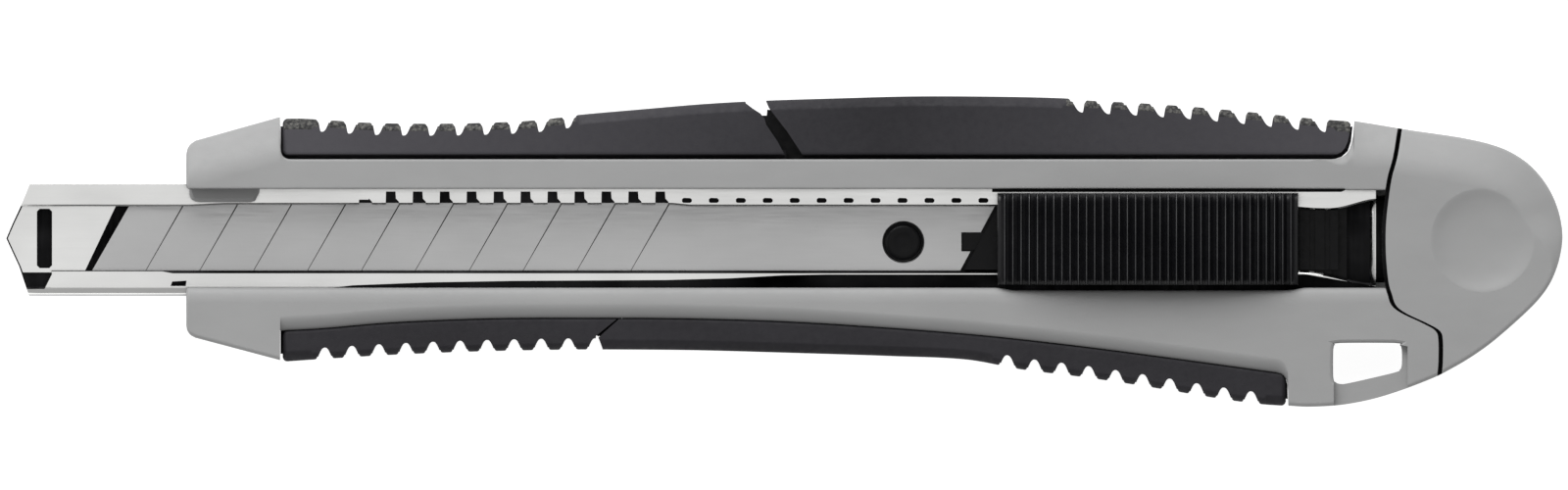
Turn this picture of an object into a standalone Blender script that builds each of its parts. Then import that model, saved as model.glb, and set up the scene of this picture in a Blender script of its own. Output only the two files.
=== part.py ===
"""Snap off knife for 9 mm blades, lying on its back with the slider side up.

Metres, +Z up.  X runs along the knife with the blade end at -X, Y across it.
The lengths below are millimetres and are turned into metres by MM.
"""
import math

import bmesh
import bpy

MM = 0.001

# levels through the thickness, measured from the back face
BODY_TOP = 12.5
CHANNEL_Z0 = 4.6
CHANNEL_Z1 = 8.6
SHEET = 0.5
BLADE_Z0 = 7.45
BLADE_THICK = 0.4
PRESS_TRAVEL = 0.7
PLATE_Z0 = 7.2
PLATE_THICK = 0.6
BUTTON_Z0 = 9.5
BLOCK_TOP = 8.7
BUTTON_TOP = 15.6

# steel channel
CHANNEL_MID_Y = 1.135
CHANNEL_WIDTH = 10.55
CHANNEL_REAR = 54.9
LIP_TOP_EDGE = 4.2
LIP_LOW_EDGE = -1.9
NOTCH_PITCH = 2.5
NOTCH_FIRST = -39.0
NOTCH_COUNT = 35
NOTCH_LONG = 1.25

# blade
BLADE_WIDTH = 9.0
BLADE_SLANT = 0.574
SCORE_PITCH = 5.0
SCORE_FIRST = -57.32
SCORE_COUNT = 10
SLANT_Y = 1.5
PEG_X = 11.07
PEG_Y = 0.86
PEG_R = 1.75

# thumb slide
BUTTON_X0 = 19.8
BUTTON_X1 = 47.7
BUTTON_Y0 = -3.1
BUTTON_Y1 = 5.4
RIB_PITCH = 0.775
RIB_DEEP = 0.45

# openings in the handle
RAIL_TOP_Y = 5.8
RAIL_LOW_Y = -3.45
SLOT_PLAY = 0.06
CORE_Z0 = 1.6

# grips
GRIP_Z0 = 0.3
GRIP_Z1 = 12.2
GRIP_CHAMFER = 0.75
GRIP_GAP = 0.1
TOOTH_PITCH = 2.52
TOOTH_DEEP = 1.1
WEB_Z0 = 4.1
WEB_Z1 = 8.4
WEB_DEEP = 1.4
LOW_WEB_DEEP = 1.0

CAP_GAP = 0.4

# lower boundary of the plastic rail against the grips
LOW_RAIL = [
    (-46.6, -7.35), (-42.8, -7.14), (-36.4, -6.6), (-27.3, -6.23), (-18.2, -6.18),
    (-9.1, -6.23), (0.0, -6.5), (9.05, -7.05), (18.1, -7.77), (27.2, -8.77),
    (36.3, -9.95), (46.5, -11.35),
]
# edge of the handle that faces the end cap, from the bottom up
CAP_JOIN = [
    (60.6, -11.2), (60.7, -10.3), (60.7, -8.3), (60.5, -7.5), (59.3, -6.7), (57.3, -5.8),
    (56.3, -5.0), (55.9, -3.9), (55.6, -2.8), (55.4, -0.3), (55.4, 2.4), (55.7, 5.1),
    (56.0, 6.95), (56.5, 8.8), (56.95, 11.3),
]


def clear_scene():
    for item in list(bpy.data.objects):
        bpy.data.objects.remove(item, do_unlink=True)


def make_material(name, colour, roughness, metallic):
    mat = bpy.data.materials.new(name)
    mat.use_nodes = True
    shader = mat.node_tree.nodes["Principled BSDF"]
    shader.inputs["Base Color"].default_value = (colour[0], colour[1], colour[2], 1.0)
    shader.inputs["Roughness"].default_value = roughness
    shader.inputs["Metallic"].default_value = metallic
    return mat


def new_object(name, bm, mat=None, origin=(0.0, 0.0, 0.0)):
    """Turn a millimetre bmesh into an object whose origin sits at the given point."""
    bmesh.ops.translate(bm, verts=bm.verts, vec=(-origin[0], -origin[1], -origin[2]))
    bmesh.ops.scale(bm, verts=bm.verts, vec=(MM, MM, MM))
    bmesh.ops.recalc_face_normals(bm, faces=bm.faces)
    mesh = bpy.data.meshes.new(name)
    bm.to_mesh(mesh)
    bm.free()
    obj = bpy.data.objects.new(name, mesh)
    obj.location = (origin[0] * MM, origin[1] * MM, origin[2] * MM)
    bpy.context.scene.collection.objects.link(obj)
    if mat is not None:
        mesh.materials.append(mat)
    return obj


def smooth(obj, degrees=32.0):
    obj.data.shade_smooth()
    obj.data.set_sharp_from_angle(angle=math.radians(degrees))


def boolean(obj, tool, operation="DIFFERENCE"):
    tool.hide_render = True
    tool.display_type = "WIRE"
    mod = obj.modifiers.new("cut", "BOOLEAN")
    mod.operation = operation
    mod.solver = "EXACT"
    mod.object = tool


def add_loops(bm, loops):
    """Skin a stack of equally long closed loops and cap both ends."""
    rings = [[bm.verts.new(p) for p in loop] for loop in loops]
    count = len(rings[0])
    for low, high in zip(rings, rings[1:]):
        for i in range(count):
            j = (i + 1) % count
            bm.faces.new((low[i], low[j], high[j], high[i]))
    bm.faces.new(list(reversed(rings[0])))
    bm.faces.new(rings[-1])


def add_box(bm, x0, x1, y0, y1, z0, z1):
    low = [(x0, y0, z0), (x1, y0, z0), (x1, y1, z0), (x0, y1, z0)]
    high = [(x, y, z1) for x, y, z in low]
    add_loops(bm, [low, high])


def add_prism(bm, points, z0, z1):
    add_loops(bm, [[(x, y, z0) for x, y in points], [(x, y, z1) for x, y in points]])


def add_profile_along_y(bm, points, y0, y1):
    add_loops(bm, [[(x, y0, z) for x, z in points], [(x, y1, z) for x, z in points]])


def box_tool(name, x0, x1, y0, y1, z0, z1):
    bm = bmesh.new()
    add_box(bm, x0, x1, y0, y1, z0, z1)
    return new_object(name, bm)


def prism_tool(name, points, z0, z1):
    bm = bmesh.new()
    add_prism(bm, points, z0, z1)
    return new_object(name, bm)


def inset(points, amounts):
    """Move each corner of a counter-clockwise outline inwards by its own amount."""
    out = []
    count = len(points)
    for i in range(count):
        ax, ay = points[i - 1]
        bx, by = points[i]
        cx, cy = points[(i + 1) % count]
        la = math.hypot(bx - ax, by - ay)
        lc = math.hypot(cx - bx, cy - by)
        n1 = (-(by - ay) / la, (bx - ax) / la)
        n2 = (-(cy - by) / lc, (cx - bx) / lc)
        scale = 1.0 / max(0.45, 1.0 + n1[0] * n2[0] + n1[1] * n2[1])
        out.append((bx + (n1[0] + n2[0]) * scale * amounts[i],
                    by + (n1[1] + n2[1]) * scale * amounts[i]))
    return out


def add_rounded_slab(bm, points, radii, z0, z1):
    """Slab whose top and bottom edges are rounded by a radius given per corner."""
    count = len(points)
    steps = [(1.0, 0.0), (0.42, 0.18), (0.1, 0.52), (0.0, 1.0)]
    loops = []
    for side, drop in steps:
        ring = inset(points, [r * side for r in radii])
        loops.append([(ring[i][0], ring[i][1], z0 + radii[i] * drop) for i in range(count)])
    for side, drop in reversed(steps):
        ring = inset(points, [r * side for r in radii])
        loops.append([(ring[i][0], ring[i][1], z1 - radii[i] * drop) for i in range(count)])
    add_loops(bm, loops)


def tooth_row(first, pitch, count, base, depth, flank_left, flank_right):
    """Points of a row of teeth read along +X; base(x) is the height of the tooth tops."""
    points = []
    for n in range(count):
        mid = first + pitch * n
        half = pitch * 0.24
        points.append((mid - half - flank_left, base(mid - half) - depth))
        points.append((mid - half, base(mid - half) - depth * 0.12))
        points.append((mid - half * 0.5, base(mid)))
        points.append((mid + half * 0.5, base(mid)))
        points.append((mid + half, base(mid + half) - depth * 0.12))
        points.append((mid + half + flank_right, base(mid + half) - depth))
    return points


def curve(table):
    """Straight line interpolation through a list of (x, y) points."""
    def height(x):
        if x <= table[0][0]:
            return table[0][1]
        for (ax, ay), (bx, by) in zip(table, table[1:]):
            if x <= bx:
                return ay + (by - ay) * (x - ax) / (bx - ax)
        return table[-1][1]
    return height


def build_handle(mat):
    outline = [(-55.45, 9.2), (-55.45, -7.1), (-54.6, -8.05), (-46.9, -10.1)]
    radii = [1.2, 1.2, 1.2, 1.0]
    outline += [LOW_RAIL[0]]
    radii += [0.5]
    outline += LOW_RAIL[1:]
    radii += [0.4] * (len(LOW_RAIL) - 1)
    outline += [(46.95, -14.3), (48.6, -14.4), (51.6, -14.2), (54.5, -13.7), (57.2, -12.9)]
    radii += [0.9, 1.2, 1.2, 1.2, 1.2]
    outline += CAP_JOIN
    radii += [0.6] + [0.25] * (len(CAP_JOIN) - 2) + [0.6]
    outline += [(54.7, 11.8), (52.6, 12.1), (52.0, 8.7), (-46.6, 8.6), (-46.9, 12.45), (-54.6, 10.3)]
    radii += [1.2, 0.9, 0.5, 0.5, 1.0, 1.2]
    bm = bmesh.new()
    add_rounded_slab(bm, outline, radii, 0.0, BODY_TOP)
    body = new_object("handle_body", bm, mat)

    # webs that carry the grips
    top_webs = bmesh.new()
    add_box(top_webs, -45.4, -4.8, 8.0, 8.6 + WEB_DEEP, WEB_Z0, WEB_Z1)
    add_box(top_webs, 2.6, 50.6, 8.0, 8.6 + WEB_DEEP, WEB_Z0, WEB_Z1)
    boolean(body, new_object("tool_top_webs", top_webs), "UNION")
    low_webs = bmesh.new()
    for x0, x1 in ((-45.4, -20.4), (-14.0, 45.4)):
        add_prism(low_webs, web_outline(x0, x1, 0.6, LOW_WEB_DEEP), WEB_Z0, WEB_Z1)
    boolean(body, new_object("tool_low_webs", low_webs), "UNION")

    # bed of the steel channel, the opening above it and the hollow below it
    half = CHANNEL_WIDTH / 2 + SLOT_PLAY
    boolean(body, box_tool("tool_bed", -58.0, 64.0, CHANNEL_MID_Y - half, CHANNEL_MID_Y + half,
                           CHANNEL_Z0 - SLOT_PLAY, CHANNEL_Z1 + SLOT_PLAY))
    boolean(body, box_tool("tool_opening", -58.5, 64.5, RAIL_LOW_Y, RAIL_TOP_Y,
                           CHANNEL_Z1 - 1.0, BODY_TOP + 2.0))
    boolean(body, box_tool("tool_hollow", -44.0, 65.0, -2.9, 5.2, CORE_Z0, CHANNEL_Z0 + 1.0))
    ledge = [(-55.1, 5.2), (-54.5, 4.6), (-49.2, 4.6), (-48.7, 5.0), (-48.7, 6.2), (-55.1, 6.2)]
    boolean(body, prism_tool("tool_ledge", ledge, CHANNEL_Z1 + SLOT_PLAY, 11.0), "UNION")
    hole = [(50.9, -8.9), (50.9, -11.9), (51.3, -12.3), (52.0, -12.3), (56.6, -11.35),
            (57.2, -10.8), (57.2, -8.9), (56.8, -8.5), (51.3, -8.5)]
    boolean(body, prism_tool("tool_lanyard", hole, -1.0, BODY_TOP + 1.0))
    return body


def web_outline(x0, x1, inside, depth):
    """Strip along the lower rail, from inside the rail to a depth below it."""
    rail = curve(LOW_RAIL)
    xs = [x0] + [x for x, _ in LOW_RAIL if x0 < x < x1] + [x1]
    low = [(x, rail(x) - depth) for x in xs]
    high = [(x, rail(x) + inside) for x in reversed(xs)]
    return low + high


def build_grip(name, outer, inner, direction, slots, mat):
    """Rubber pad: outer edge points left to right, inner edge points left to right."""
    levels = [(GRIP_Z0, GRIP_CHAMFER), (GRIP_Z0 + GRIP_CHAMFER, 0.0),
              (GRIP_Z1 - GRIP_CHAMFER, 0.0), (GRIP_Z1, GRIP_CHAMFER)]
    loops = []
    for z, drop in levels:
        edge = [(x, y - direction * drop, z) for x, y in outer]
        back = [(x, y, z) for x, y in reversed(inner)]
        loops.append(edge + back)
    bm = bmesh.new()
    add_loops(bm, loops)
    grip = new_object(name, bm, mat)
    boolean(grip, prism_tool("tool_" + name, slots, WEB_Z0 - 0.1, WEB_Z1 + 0.1))
    return grip


def build_top_grips(mat):
    crest = curve([(-46.6, 12.5), (-41.4, 12.1), (-36.0, 11.88), (-28.0, 11.85), (-21.0, 12.2),
                   (-18.0, 12.7), (-13.0, 13.2), (-7.0, 13.65), (-1.8, 13.9), (5.0, 14.25),
                   (12.0, 14.4), (20.0, 14.35), (28.0, 14.1), (36.0, 13.55), (43.0, 13.0),
                   (49.5, 12.45), (52.6, 12.05)])
    inner_y = 8.6 + GRIP_GAP
    front = [(-46.6, inner_y + 2.6), (-46.3, crest(-46.3))]
    front += tooth_row(-41.45, TOOTH_PITCH, 9, crest, TOOTH_DEEP, 0.55, 0.55)
    front += [(-19.0, crest(-19.0)), (-13.0, crest(-13.0)), (-7.0, crest(-7.0)), (-3.7, crest(-3.7))]
    inner = [(-46.6, inner_y), (-20.0, inner_y), (0.1, inner_y)]
    slot = [(-45.5, 8.0), (-4.7, 8.0), (-4.7, 10.1), (-45.5, 10.1)]
    grip = build_grip("top_front_grip", front, inner, 1.0, slot, mat)
    # floor of the diagonal groove between the two upper grips
    tongue = [(-4.4, inner_y + 0.05), (1.7, inner_y + 0.05), (-0.9, 12.6), (-3.2, 12.6), (-4.4, 11.0)]
    boolean(grip, prism_tool("tool_tongue_grip", tongue, 2.6, 8.0), "UNION")

    rear = [(-1.6, crest(-1.6)), (5.0, crest(5.0)), (12.0, crest(12.0)), (19.0, crest(19.0)),
            (25.8, crest(25.8))]
    rear += tooth_row(28.2, 2.5, 9, crest, 1.15, 0.25, 0.85)
    rear += [(50.0, crest(50.0)), (52.3, crest(52.3))]
    inner = [(1.9, inner_y), (20.0, inner_y), (51.9, inner_y)]
    slot = [(2.5, 8.0), (50.7, 8.0), (50.7, 10.1), (2.5, 10.1)]
    build_grip("top_rear_grip", rear, inner, 1.0, slot, mat)


def build_low_grips(mat):
    # the lower crests are described as positive depths below the axis
    crest = curve([(-46.6, 10.2), (-42.0, 9.95), (-36.0, 9.6), (-28.0, 9.35), (-20.0, 9.15),
                   (-14.0, 9.15), (-8.0, 9.2), (0.0, 9.4), (10.0, 9.7), (16.0, 10.05),
                   (22.0, 10.6), (28.0, 11.35), (34.0, 12.3), (40.0, 13.25), (46.6, 14.25)])
    rail = curve(LOW_RAIL)
    front = [(-46.6, 7.35 + 1.6), (-46.3, crest(-46.3))]
    front += tooth_row(-41.4, 2.51, 10, crest, 1.0, 0.55, 0.55)
    front += [(-17.5, crest(-17.5) - 1.0)]
    front = [(x, -y) for x, y in front]
    xs = [-46.5, -42.8, -36.4, -27.3, -18.2, -15.25]
    inner = [(x, rail(x) - GRIP_GAP) for x in xs]
    build_grip("bottom_front_grip", front, inner, -1.0, web_outline(-45.5, -20.3, 0.6, LOW_WEB_DEEP + 0.1), mat)

    rear = [(-17.1, crest(-17.1) - 0.9), (-16.7, crest(-16.7)), (-8.0, crest(-8.0)), (0.0, crest(0.0)), (10.0, crest(10.0)),
            (17.6, crest(17.6))]
    rear += tooth_row(21.9, 2.5, 9, crest, 0.95, 0.25, 0.85)
    rear += [(44.4, crest(44.4)), (46.6, crest(46.6))]
    rear = [(x, -y) for x, y in rear]
    xs = [-14.9, -9.1, 0.0, 9.05, 18.1, 27.2, 36.3, 46.2]
    inner = [(x, rail(x) - GRIP_GAP) for x in xs]
    build_grip("bottom_rear_grip", rear, inner, -1.0, web_outline(-14.1, 45.5, 0.6, LOW_WEB_DEEP + 0.1), mat)


def channel_section():
    """Counter-clockwise section of the channel in Y and Z, with rounded bends."""
    left = CHANNEL_MID_Y - CHANNEL_WIDTH / 2
    right = CHANNEL_MID_Y + CHANNEL_WIDTH / 2
    outer_r = 0.9
    inner_r = outer_r - SHEET

    def arc(cy, cz, radius, start, end):
        steps = 4
        return [(cy + radius * math.cos(math.radians(start + (end - start) * i / steps)),
                 cz + radius * math.sin(math.radians(start + (end - start) * i / steps)))
                for i in range(steps + 1)]

    low, high = CHANNEL_Z0 + outer_r, CHANNEL_Z1 - outer_r
    points = arc(left + outer_r, low, outer_r, 180, 270)
    points += arc(right - outer_r, low, outer_r, 270, 360)
    points += arc(right - outer_r, high, outer_r, 0, 90)
    points += [(LIP_TOP_EDGE, CHANNEL_Z1), (LIP_TOP_EDGE, CHANNEL_Z1 - SHEET)]
    points += arc(right - outer_r, high, inner_r, 90, 0)
    points += arc(right - outer_r, low, inner_r, 360, 270)
    points += arc(left + outer_r, low, inner_r, 270, 180)
    points += arc(left + outer_r, high, inner_r, 180, 90)
    points += [(LIP_LOW_EDGE, CHANNEL_Z1 - SHEET), (LIP_LOW_EDGE, CHANNEL_Z1)]
    points += arc(left + outer_r, high, outer_r, 90, 180)
    return points


def build_channel(mat):
    section = channel_section()
    bm = bmesh.new()
    add_loops(bm, [[(x, y, z) for y, z in section] for x in (-72.3, CHANNEL_REAR)])
    channel = new_object("blade_channel", bm, mat)

    nose = [(-69.9, 7.0), (-70.0, 6.2), (-70.9, 4.05), (-72.2, 1.2), (-70.95, -1.4), (-70.2, -4.0),
            (-70.1, -5.0), (-74.0, -5.0), (-74.0, 7.0)]
    boolean(channel, prism_tool("tool_nose", nose, 3.0, 10.0))
    lip_end = [(-68.1, -1.0), (-74.5, -1.0), (-74.5, -3.4), (-69.0, -3.4)]
    boolean(channel, prism_tool("tool_lip_end", lip_end, 7.6, 10.5))
    # raised plate that carries the blade behind the nose, over a hollow open to the rear
    floor = CHANNEL_Z0 + SHEET
    top = BLADE_Z0 - 0.1
    plate = [(-70.85, 4.05), (-72.15, 1.2), (-70.9, -1.4), (-70.1, -3.75), (-65.77, -3.75),
             (-61.13, 6.0), (-69.85, 6.0)]
    boolean(channel, prism_tool("tool_plate", plate, floor - 0.2, top), "UNION")
    boolean(channel, box_tool("tool_nose_hollow", -70.2, -57.0, -3.2, 5.45, floor, top - SHEET))
    slots = bmesh.new()
    add_prism(slots, [(-69.3, -1.55), (-67.9, -1.55), (-67.9, 3.95), (-69.3, 3.95)], top - 0.8, top + 0.3)
    boolean(channel, new_object("tool_slots", slots))

    notches = bmesh.new()
    for n in range(NOTCH_COUNT):
        mid = NOTCH_FIRST + NOTCH_PITCH * n
        add_box(notches, mid - NOTCH_LONG / 2, mid + NOTCH_LONG / 2, 3.9, 4.92, 7.8, 9.0)
    add_box(notches, -56.9, -55.4, -3.15, -2.65, 7.8, 9.0)
    boolean(channel, new_object("tool_notches", notches))
    return channel


def build_blade(mat):
    y0 = CHANNEL_MID_Y - BLADE_WIDTH / 2
    y1 = CHANNEL_MID_Y + BLADE_WIDTH / 2

    def front(y):
        return -62.3 + BLADE_SLANT * (y - SLANT_Y)

    def tail(y):
        return 18.1 + 0.537 * (y - SLANT_Y)

    grind = y0 + 1.3
    z0, z1 = BLADE_Z0, BLADE_Z0 + BLADE_THICK
    mid = (z0 + z1) / 2
    section = [(y0, mid - 0.03), (grind, z0), (y1, z0), (y1, z1), (grind, z1), (y0, mid + 0.03)]
    bm = bmesh.new()
    add_loops(bm, [[(front(y), y, z) for y, z in section], [(tail(y), y, z) for y, z in section]])
    blade = new_object("blade", bm, mat)

    cuts = bmesh.new()
    for n in range(SCORE_COUNT):
        x = SCORE_FIRST + SCORE_PITCH * n
        a = x + BLADE_SLANT * (y0 - 0.5 - SLANT_Y)
        b = x + BLADE_SLANT * (y1 + 0.5 - SLANT_Y)
        line = [(a - 0.1, y0 - 0.5), (a + 0.1, y0 - 0.5), (b + 0.1, y1 + 0.5), (b - 0.1, y1 + 0.5)]
        add_prism(cuts, line, z1 - 0.1, z1 + 0.3)
    ring = [(PEG_X + (PEG_R + 0.1) * math.cos(math.tau * i / 28),
             PEG_Y + (PEG_R + 0.1) * math.sin(math.tau * i / 28)) for i in range(28)]
    add_prism(cuts, ring, z0 - 0.5, z1 + 0.5)
    add_box(cuts, 16.45, 21.0, 0.0, 1.77, z0 - 0.5, z1 + 0.5)
    boolean(blade, new_object("tool_blade", cuts))
    return blade


def build_carrier(mat):
    low = CHANNEL_Z0 + SHEET + 0.1
    deck = BLADE_Z0 - 0.1
    under_lip = CHANNEL_Z1 - SHEET - 0.15
    bm = bmesh.new()
    outline = [(6.0, -2.7), (6.6, -3.3), (51.6, -3.3), (52.2, -2.7), (52.2, 4.9), (51.6, 5.5),
               (6.6, 5.5), (6.0, 4.9)]
    add_prism(bm, outline, low, deck)
    carrier = new_object("blade_carrier", bm, mat)

    front = [(16.75, -1.7), (24.3, -1.7), (24.3, 4.0), (19.8, 4.0)]
    blocks = bmesh.new()
    add_prism(blocks, front, deck - 0.5, BLOCK_TOP)
    add_prism(blocks, [(44.2, -1.7), (51.4, -1.7), (51.4, 4.0), (44.2, 4.0)], deck - 0.5, BLOCK_TOP)
    boolean(carrier, new_object("tool_blocks", blocks), "UNION")
    boolean(carrier, box_tool("tool_key", 16.6, 19.6, 0.12, 1.65, deck - 0.8, 8.1), "UNION")
    boolean(carrier, box_tool("tool_sides", 44.6, 50.8, -3.1, 5.3, deck - 0.3, under_lip), "UNION")
    ring = [(PEG_X + PEG_R * math.cos(math.tau * i / 28), PEG_Y + PEG_R * math.sin(math.tau * i / 28))
            for i in range(28)]
    small = [(PEG_X + (x - PEG_X) * 0.86, PEG_Y + (y - PEG_Y) * 0.86) for x, y in ring]
    peg = bmesh.new()
    add_loops(peg, [[(x, y, deck - 0.6) for x, y in ring], [(x, y, 7.9) for x, y in ring],
                    [(x, y, 8.15) for x, y in small]])
    boolean(carrier, new_object("tool_peg", peg), "UNION")
    boolean(carrier, box_tool("tool_pocket", 24.9, 43.7, -2.2, 5.2, low + 0.8, 9.5))
    return carrier


def build_lock(spring_mat, plate_mat):
    bm = bmesh.new()
    top = PLATE_Z0 + PLATE_THICK
    add_box(bm, 25.2, 43.4, -1.6, 4.95, PLATE_Z0, top)
    plate = new_object("lock_plate", bm, plate_mat)
    teeth = bmesh.new()
    for n in range(3):
        mid = NOTCH_FIRST + NOTCH_PITCH * (28 + n)
        add_box(teeth, mid - 0.5, mid + 0.5, 4.25, 4.8, top - 0.2, 8.5)
    boolean(plate, new_object("tool_teeth", teeth), "UNION")

    base = CHANNEL_Z0 + SHEET + 0.1 + 0.8 + 0.05
    crown = PLATE_Z0 - 0.05
    steps = 16
    thick = 0.2
    upper, lower = [], []
    for i in range(steps + 1):
        u = i / steps
        rise = (crown - thick - base) * 0.5 * (1.0 - math.cos(math.tau * u))
        x = 27.3 + 13.6 * u
        lower.append((x, base + rise))
        upper.append((x, base + thick + rise))
    bm = bmesh.new()
    add_profile_along_y(bm, lower + list(reversed(upper)), -0.3, 2.7)
    smooth(new_object("lock_spring", bm, spring_mat, (34.1, 1.2, base)))


def build_thumb_slide(mat):
    ribs = int(round((BUTTON_X1 - BUTTON_X0) / RIB_PITCH))
    middle = (BUTTON_X0 + BUTTON_X1) / 2
    half = (BUTTON_X1 - BUTTON_X0) / 2

    def crown(x):
        u = abs(x - middle) / half
        return BUTTON_TOP - 2.2 * u ** 2.4

    tops = [(BUTTON_X0, crown(BUTTON_X0) - 0.8)]
    for n in range(ribs):
        left = BUTTON_X0 + RIB_PITCH * n
        tops.append((left + RIB_PITCH * 0.12, crown(left) - RIB_DEEP))
        tops.append((left + RIB_PITCH * 0.38, crown(left)))
        tops.append((left + RIB_PITCH * 0.62, crown(left)))
        tops.append((left + RIB_PITCH * 0.88, crown(left) - RIB_DEEP))
    tops.append((BUTTON_X1, crown(BUTTON_X1) - 0.8))
    levels = [(BUTTON_Y0, 0.8), (BUTTON_Y0 + 0.8, 0.0), (BUTTON_Y1 - 0.8, 0.0), (BUTTON_Y1, 0.8)]
    loops = []
    for y, drop in levels:
        ring = [(BUTTON_X0, y, BUTTON_Z0), (BUTTON_X1, y, BUTTON_Z0)]
        ring += [(x, y, z - drop) for x, z in reversed(tops)]
        loops.append(ring)
    bm = bmesh.new()
    add_loops(bm, loops)
    slide = new_object("thumb_slide", bm, mat)
    stem = box_tool("tool_stem", 25.6, 43.0, -1.5, 3.8, PLATE_Z0 + PLATE_THICK + 0.05, BUTTON_Z0 + 0.6)
    boolean(slide, stem, "UNION")
    return slide


def build_cap(mat):
    join = [(x + CAP_GAP, y) for x, y in reversed(CAP_JOIN)]
    join[-1] = (61.05, -11.3)
    round_end = [(63.6, -9.9), (65.4, -8.7), (67.2, -7.2), (69.0, -5.5), (70.1, -4.4), (70.9, -3.4),
                 (71.6, -1.9), (71.95, -0.7), (72.3, 1.4), (71.95, 3.5), (71.6, 4.6), (70.9, 6.05),
                 (70.1, 7.1), (69.0, 8.2), (67.2, 9.4), (65.4, 10.05), (63.6, 10.4), (60.0, 10.9)]
    radii = [0.5] + [0.25] * (len(join) - 2) + [0.5] + [1.6] * len(round_end)
    bm = bmesh.new()
    add_rounded_slab(bm, join + round_end, radii, 0.0, BODY_TOP)
    cap = new_object("end_cap", bm, mat)
    boolean(cap, box_tool("tool_tongue", 47.4, 57.5, -2.7, 5.0, CORE_Z0 + 0.2, CHANNEL_Z0 - 0.2), "UNION")

    # shallow round finger dimples, front and back
    radius, depth, side = 4.6, 0.8, 32
    for name, level, way in (("front", BODY_TOP, 1.0), ("back", 0.0, -1.0)):
        loops = []
        for share, sink in ((1.06, -0.1), (1.0, 0.0), (0.78, 0.42), (0.52, 0.76), (0.24, 0.95)):
            z = level - way * depth * sink
            loops.append([(64.8 + radius * share * math.cos(math.tau * i / side),
                           1.05 + radius * share * math.sin(math.tau * i / side), z)
                          for i in range(side)])
        dish = bmesh.new()
        add_loops(dish, loops)
        boolean(cap, new_object("tool_dimple_" + name, dish))
    return cap


def main():
    clear_scene()
    body_grey = make_material("body_plastic", (0.36, 0.36, 0.36), 0.5, 0.0)
    rubber = make_material("grip_rubber", (0.035, 0.033, 0.040), 0.75, 0.0)
    chrome = make_material("channel_steel", (0.72, 0.72, 0.71), 0.18, 1.0)
    steel = make_material("blade_steel", (0.55, 0.55, 0.54), 0.3, 1.0)
    black = make_material("carrier_plastic", (0.02, 0.02, 0.022), 0.45, 0.0)
    button = make_material("slide_plastic", (0.018, 0.018, 0.02), 0.5, 0.0)
    spring = make_material("spring_steel", (0.45, 0.46, 0.48), 0.3, 1.0)
    plate = make_material("lock_steel", (0.5, 0.5, 0.5), 0.35, 1.0)
    cap_grey = make_material("cap_plastic", (0.36, 0.36, 0.36), 0.5, 0.0)

    build_handle(body_grey)
    build_top_grips(rubber)
    build_low_grips(rubber)
    smooth(build_channel(chrome), 30.0)
    build_blade(steel)
    build_carrier(black)
    build_lock(spring, plate)
    build_thumb_slide(button)
    build_cap(cap_grey)


main()
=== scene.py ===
"""Snap off knife, 9 mm: fine surfaces, materials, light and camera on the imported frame."""
import math

import bmesh
import bpy
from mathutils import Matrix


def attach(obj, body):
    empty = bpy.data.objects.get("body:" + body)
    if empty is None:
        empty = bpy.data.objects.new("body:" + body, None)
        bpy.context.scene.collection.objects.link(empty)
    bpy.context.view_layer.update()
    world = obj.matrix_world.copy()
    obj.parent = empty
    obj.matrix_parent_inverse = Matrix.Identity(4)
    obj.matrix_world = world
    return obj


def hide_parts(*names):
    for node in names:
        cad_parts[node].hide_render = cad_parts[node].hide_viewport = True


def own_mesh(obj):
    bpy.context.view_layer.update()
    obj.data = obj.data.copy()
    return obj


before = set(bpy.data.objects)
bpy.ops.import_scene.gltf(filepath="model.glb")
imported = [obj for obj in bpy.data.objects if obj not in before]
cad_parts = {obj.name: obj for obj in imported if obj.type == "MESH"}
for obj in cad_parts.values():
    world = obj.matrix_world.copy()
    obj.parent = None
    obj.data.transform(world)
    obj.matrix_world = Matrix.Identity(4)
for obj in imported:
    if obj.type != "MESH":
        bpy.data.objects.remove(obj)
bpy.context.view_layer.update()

MM = 0.001

# levels through the thickness in millimetres, as in the frame
BODY_TOP = 12.5
CHANNEL_Z0 = 4.6
CHANNEL_Z1 = 8.6
SHEET = 0.5
BLADE_Z0 = 7.45
BLADE_THICK = 0.4
PLATE_Z0 = 7.2
PLATE_THICK = 0.6
CHANNEL_MID_Y = 1.135
CHANNEL_WIDTH = 10.55
CHANNEL_REAR = 54.9
CHANNEL_RIM = 0.26
RAIL_TOP_Y = 5.8

# blade: width, hole for the peg, scores (first one and their distance), slant of the scores
BLADE_WIDTH = 9.0
PEG = (11.07, 0.86)
BLADE_HOLE = 1.86
FIRST_SCORE = -57.32
SCORE_PITCH = 5.0
SCORES = 10
SLANT = 0.574
SLANT_Y = 1.5

# lock notches of the upper lip, and which of them the teeth of the lock plate stand in
FIRST_NOTCH = -39.0
NOTCH_PITCH = 2.5
NOTCHES = 35
FIRST_TOOTH = 28

# rubber pads: front end, seat on the handle, back face, front faces, tooth rounding, bevels
PAD_X0 = -46.5
PAD_SEAT = 8.93
PAD_Z0 = 0.3
UPPER_PAD_Z1 = 12.3
LOWER_PAD_Z1 = 11.95
TOOTH_ROUND = 0.24
TOOTH_BEVEL = 0.55
PLAIN_BEVEL = 0.85

# joint between handle and cap: visible gap, play below it, lap of the lower step, levels of the steps
CAP_GAP = 0.42
CAP_PLAY = 0.06
LAP = 0.3
LAP_Z = 4.5
CAP_SHELF_Z = 8.4
DIMPLE = (64.8, 1.05)

SPRING_Z0 = CHANNEL_Z0 + SHEET + 0.95
ROUND_SIDES = 64

# width of the camera's view, and where the camera stands
VIEW_WIDTH = 145.4545
CAMERA_AT = (0.0, 0.00059, 0.5)


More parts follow.
